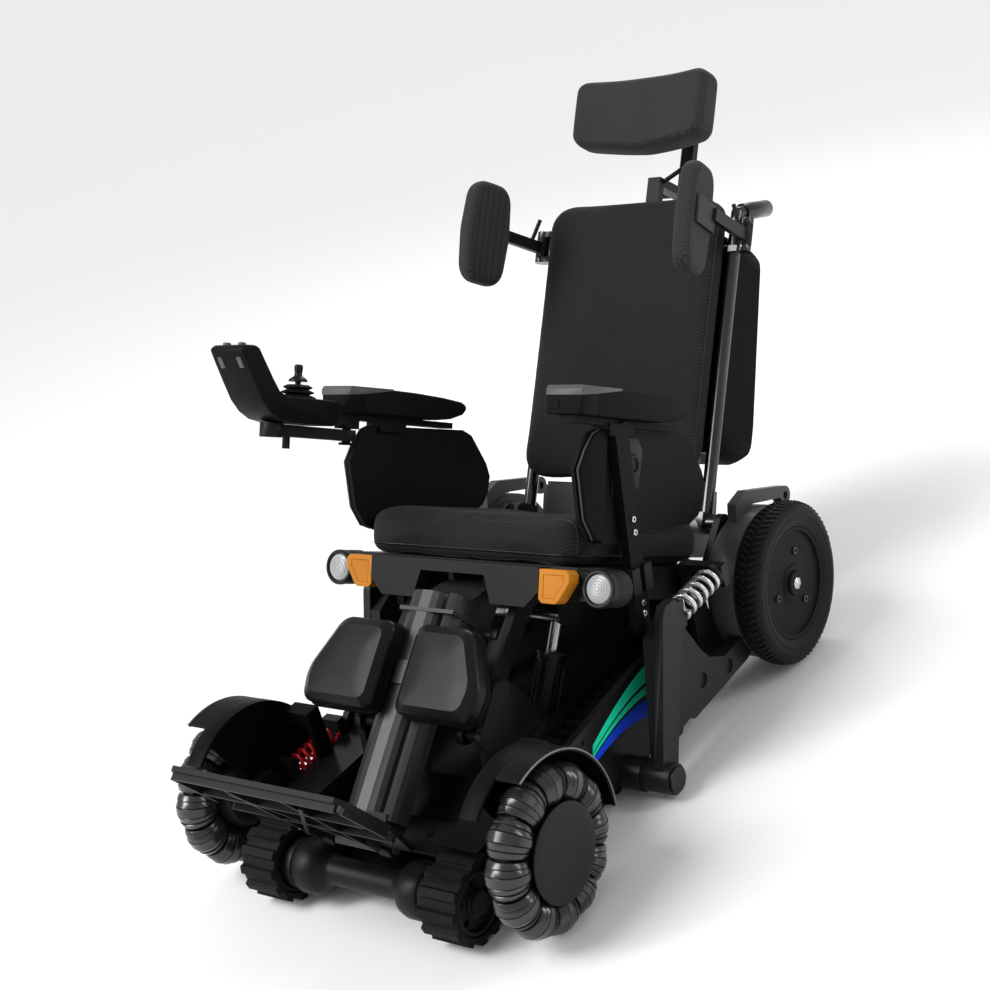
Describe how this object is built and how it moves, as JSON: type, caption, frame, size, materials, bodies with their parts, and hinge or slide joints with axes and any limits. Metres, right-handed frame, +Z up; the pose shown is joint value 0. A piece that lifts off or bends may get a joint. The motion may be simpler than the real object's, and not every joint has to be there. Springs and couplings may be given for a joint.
{
  "type": "stair climbing wheelchair",
  "caption": "Powered wheelchair that climbs stairs on rubber tracks, with swing-down wheels, a self-levelling tilting seat, legrest, armrests, side supports and headrest.",
  "frame": {"origin": "middle of the ground rectangle under the whole chair, tracks flat on the ground", "axes": "+Z up, -Y forwards (footplate end), +X the sitter's left"},
  "size_m": [0.668, 1.4196, 0.881],
  "materials": {
    "black_metal": "black powder coat",
    "column_metal": "satin dark grey anodised",
    "motor_metal": "dark cast casing",
    "battery_case": "matte",
    "black_plastic": "satin moulded",
    "arm_plastic": "satin moulded",
    "track_rubber": "matte rubber",
    "roller_rubber": "satin rubber",
    "tyre_rubber": "matte rubber",
    "drum_plastic": "moulded",
    "hub_plastic": "moulded",
    "red_spring": "red gloss",
    "bright_steel": "ground steel",
    "gimbal_metal": "plain",
    "amber_lens": "amber",
    "clear_lens": "frosted clear",
    "grey_plastic": "light grey moulded",
    "black_mesh": "spacer mesh",
    "black_vinyl": "satin vinyl",
    "arm_foam": "moulded foam",
    "control_plastic": "satin",
    "foot_plastic": "ribbed moulding"
  },
  "bodies": {
    "chassis": {"chassis_frame": "black_metal", "front_cowl": "black_metal", "side_cover_left": "black_metal", "side_cover_right": "black_metal", "battery_pack": "battery_case", "track_belt_left": "track_rubber", "track_belt_right": "track_rubber", "fender_left": "black_plastic", "fender_right": "black_plastic", "front_spring_left": "red_spring", "front_spring_right": "red_spring", "rear_spring_left": "bright_steel", "rear_spring_right": "bright_steel"},
    "drum_left": {"drive_drum_left": "drum_plastic"},
    "drum_right": {"drive_drum_right": "drum_plastic"},
    "idler_l": {"idler_left": "drum_plastic"},
    "idler_r": {"idler_right": "drum_plastic"},
    "front_arm_l": {"front_arm_left": "black_metal"},
    "front_arm_r": {"front_arm_right": "black_metal"},
    "omni_l": {"omni_hub_left": "hub_plastic", "omni_rollers_left": "roller_rubber"},
    "omni_r": {"omni_hub_right": "hub_plastic", "omni_rollers_right": "roller_rubber"},
    "swing_l": {"swing_arm_left": "black_metal", "wheel_motor_left": "motor_metal"},
    "swing_r": {"swing_arm_right": "black_metal", "wheel_motor_right": "motor_metal"},
    "wheel_l": {"rear_wheel_left": "hub_plastic", "rear_tyre_left": "tyre_rubber"},
    "wheel_r": {"rear_wheel_right": "hub_plastic", "rear_tyre_right": "tyre_rubber"},
    "seat": {"seat_frame": "black_metal", "seat_fascia": "black_plastic", "corner_lights": "amber_lens", "lamp_lenses": "clear_lens", "seat_cushion": "black_mesh", "power_box": "grey_plastic"},
    "actuator": {"tilt_actuator": "motor_metal"},
    "rods": {"tilt_rods": "bright_steel"},
    "back": {"back_frame": "black_metal", "back_shell": "black_plastic", "back_cushion": "black_mesh"},
    "head_stem": {"headrest_stem": "black_metal"},
    "head": {"headrest_pad": "black_vinyl"},
    "lateral_l": {"lateral_arm_left": "black_metal", "lateral_pad_left": "black_vinyl"},
    "lateral_r": {"lateral_arm_right": "black_metal", "lateral_pad_right": "black_vinyl"},
    "arm_l": {"arm_side_left": "arm_plastic", "arm_pad_left": "arm_foam"},
    "arm_r": {"arm_side_right": "arm_plastic", "arm_pad_right": "arm_foam"},
    "control": {"swing_bar": "black_metal", "controller_case": "control_plastic"},
    "gimbal": {"joystick_gimbal": "gimbal_metal"},
    "stick": {"joystick": "control_plastic"},
    "link": {"leg_link": "black_metal"},
    "leg": {"leg_column": "column_metal", "calf_pads": "black_vinyl"},
    "foot": {"footplate": "foot_plastic"}
  },
  "joints": [
    {"name": "seat_tilt", "type": "hinge", "parent": "chassis", "child": "seat", "pos_m": [0, -0.31765, 0.2299], "axis": [1, 0, 0], "range_deg": [0, 29.27]},
    {"name": "actuator_swing", "type": "hinge", "parent": "chassis", "child": "actuator", "pos_m": [0, -0.24105, 0.075], "axis": [1, 0, 0], "range_deg": [0, 19]},
    {"name": "rod_extend", "type": "slide", "parent": "actuator", "child": "rods", "axis": [0, 0.6552, 0.7555], "range_m": [0, 0.078]},
    {"name": "link_swing", "type": "hinge", "parent": "chassis", "child": "link", "pos_m": [0, -0.37239, 0.18951], "axis": [1, 0, 0], "range_deg": [0, 30]},
    {"name": "leg_swing", "type": "hinge", "parent": "seat", "child": "leg", "pos_m": [0, -0.18813, 0.31779], "axis": [1, 0, 0], "range_deg": [-30, 0]},
    {"name": "footplate_flip", "type": "hinge", "parent": "leg", "child": "foot", "pos_m": [0, -0.55595, 0.11895], "axis": [-1, 0, 0], "range_deg": [0, 50]},
    {"name": "back_recline", "type": "hinge", "parent": "seat", "child": "back", "pos_m": [0, 0.18893, 0.24398], "axis": [-1, 0, 0], "range_deg": [0, 20]},
    {"name": "headrest_height", "type": "slide", "parent": "back", "child": "head_stem", "axis": [0, 0.5832, 0.8123], "range_m": [0, 0.05]},
    {"name": "headrest_tilt", "type": "hinge", "parent": "head_stem", "child": "head", "pos_m": [0, 0.62393, 0.79093], "axis": [1, 0, 0], "range_deg": [-15, 15]},
    {"name": "lateral_swing_left", "type": "hinge", "parent": "back", "child": "lateral_l", "pos_m": [0.208, 0.46918, 0.63367], "axis": [0, 0.5832, 0.8123], "range_deg": [0, 75]},
    {"name": "arm_height_left", "type": "slide", "parent": "seat", "child": "arm_l", "axis": [0, 0.2228, 0.9749], "range_m": [0, 0.05]},
    {"name": "front_arm_left", "type": "hinge", "parent": "chassis", "child": "front_arm_l", "pos_m": [0, -0.34305, 0.048], "axis": [1, 0, 0], "range_deg": [-2, 5], "stiffness_Nm_per_rad": 2500, "springref_deg": -0.23, "deforming": ["front_spring_left"]},
    {"name": "omni_spin_left", "type": "hinge", "parent": "front_arm_l", "child": "omni_l", "pos_m": [0.3, -0.50405, 0.125], "axis": [1, 0, 0], "continuous": true},
    {"name": "swing_arm_left", "type": "hinge", "parent": "chassis", "child": "swing_l", "pos_m": [0, -0.20805, 0.033], "axis": [1, 0, 0], "range_deg": [-8, 3], "stiffness_Nm_per_rad": 9000, "springref_deg": 0.46, "deforming": ["rear_spring_left"]},
    {"name": "wheel_spin_left", "type": "hinge", "parent": "swing_l", "child": "wheel_l", "pos_m": [0.311, 0.19595, 0.137], "axis": [1, 0, 0], "continuous": true},
    {"name": "drum_spin_left", "type": "hinge", "parent": "chassis", "child": "drum_left", "pos_m": [0.173, 0.09895, 0.06], "axis": [1, 0, 0], "continuous": true},
    {"name": "idler_spin_left", "type": "hinge", "parent": "chassis", "child": "idler_l", "pos_m": [0.173, -0.56605, 0.06], "axis": [1, 0, 0], "continuous": true},
    {"name": "lateral_swing_right", "type": "hinge", "parent": "back", "child": "lateral_r", "pos_m": [-0.208, 0.46918, 0.63367], "axis": [0, -0.5832, -0.8123], "range_deg": [0, 75]},
    {"name": "arm_height_right", "type": "slide", "parent": "seat", "child": "arm_r", "axis": [0, 0.2228, 0.9749], "range_m": [0, 0.05]},
    {"name": "front_arm_right", "type": "hinge", "parent": "chassis", "child": "front_arm_r", "pos_m": [0, -0.34305, 0.048], "axis": [1, 0, 0], "range_deg": [-2, 5], "stiffness_Nm_per_rad": 2500, "springref_deg": -0.23, "deforming": ["front_spring_right"]},
    {"name": "omni_spin_right", "type": "hinge", "parent": "front_arm_r", "child": "omni_r", "pos_m": [-0.3, -0.50405, 0.125], "axis": [1, 0, 0], "continuous": true},
    {"name": "swing_arm_right", "type": "hinge", "parent": "chassis", "child": "swing_r", "pos_m": [0, -0.20805, 0.033], "axis": [1, 0, 0], "range_deg": [-8, 3], "stiffness_Nm_per_rad": 9000, "springref_deg": 0.46, "deforming": ["rear_spring_right"]},
    {"name": "wheel_spin_right", "type": "hinge", "parent": "swing_r", "child": "wheel_r", "pos_m": [-0.311, 0.19595, 0.137], "axis": [1, 0, 0], "continuous": true},
    {"name": "drum_spin_right", "type": "hinge", "parent": "chassis", "child": "drum_right", "pos_m": [-0.173, 0.09895, 0.06], "axis": [1, 0, 0], "continuous": true},
    {"name": "idler_spin_right", "type": "hinge", "parent": "chassis", "child": "idler_r", "pos_m": [-0.173, -0.56605, 0.06], "axis": [1, 0, 0], "continuous": true},
    {"name": "controller_swing", "type": "hinge", "parent": "arm_r", "child": "control", "pos_m": [-0.222, -0.12479, 0.54939], "axis": [0, -0.489, -0.8723], "range_deg": [0, 60]},
    {"name": "stick_fore", "type": "hinge", "parent": "control", "child": "gimbal", "pos_m": [-0.222, -0.20331, 0.64041], "axis": [1, 0, 0], "range_deg": [-12, 12], "stiffness_Nm_per_rad": 0.6},
    {"name": "stick_side", "type": "hinge", "parent": "gimbal", "child": "stick", "pos_m": [-0.222, -0.20331, 0.64041], "axis": [0, 0.8723, -0.489], "range_deg": [-12, 12], "stiffness_Nm_per_rad": 0.6}
  ],
  "couplings": [
    {"joint": "actuator_swing", "follows": "seat_tilt", "ratio": 0.633},
    {"joint": "rod_extend", "follows": "seat_tilt", "m_per_rad": 0.1457},
    {"joint": "link_swing", "follows": "seat_tilt", "ratio": 1},
    {"joint": "leg_swing", "follows": "seat_tilt", "ratio": -1},
    {"joint": "idler_spin_left", "follows": "drum_spin_left", "ratio": 1},
    {"joint": "idler_spin_right", "follows": "drum_spin_right", "ratio": 1}
  ]
}
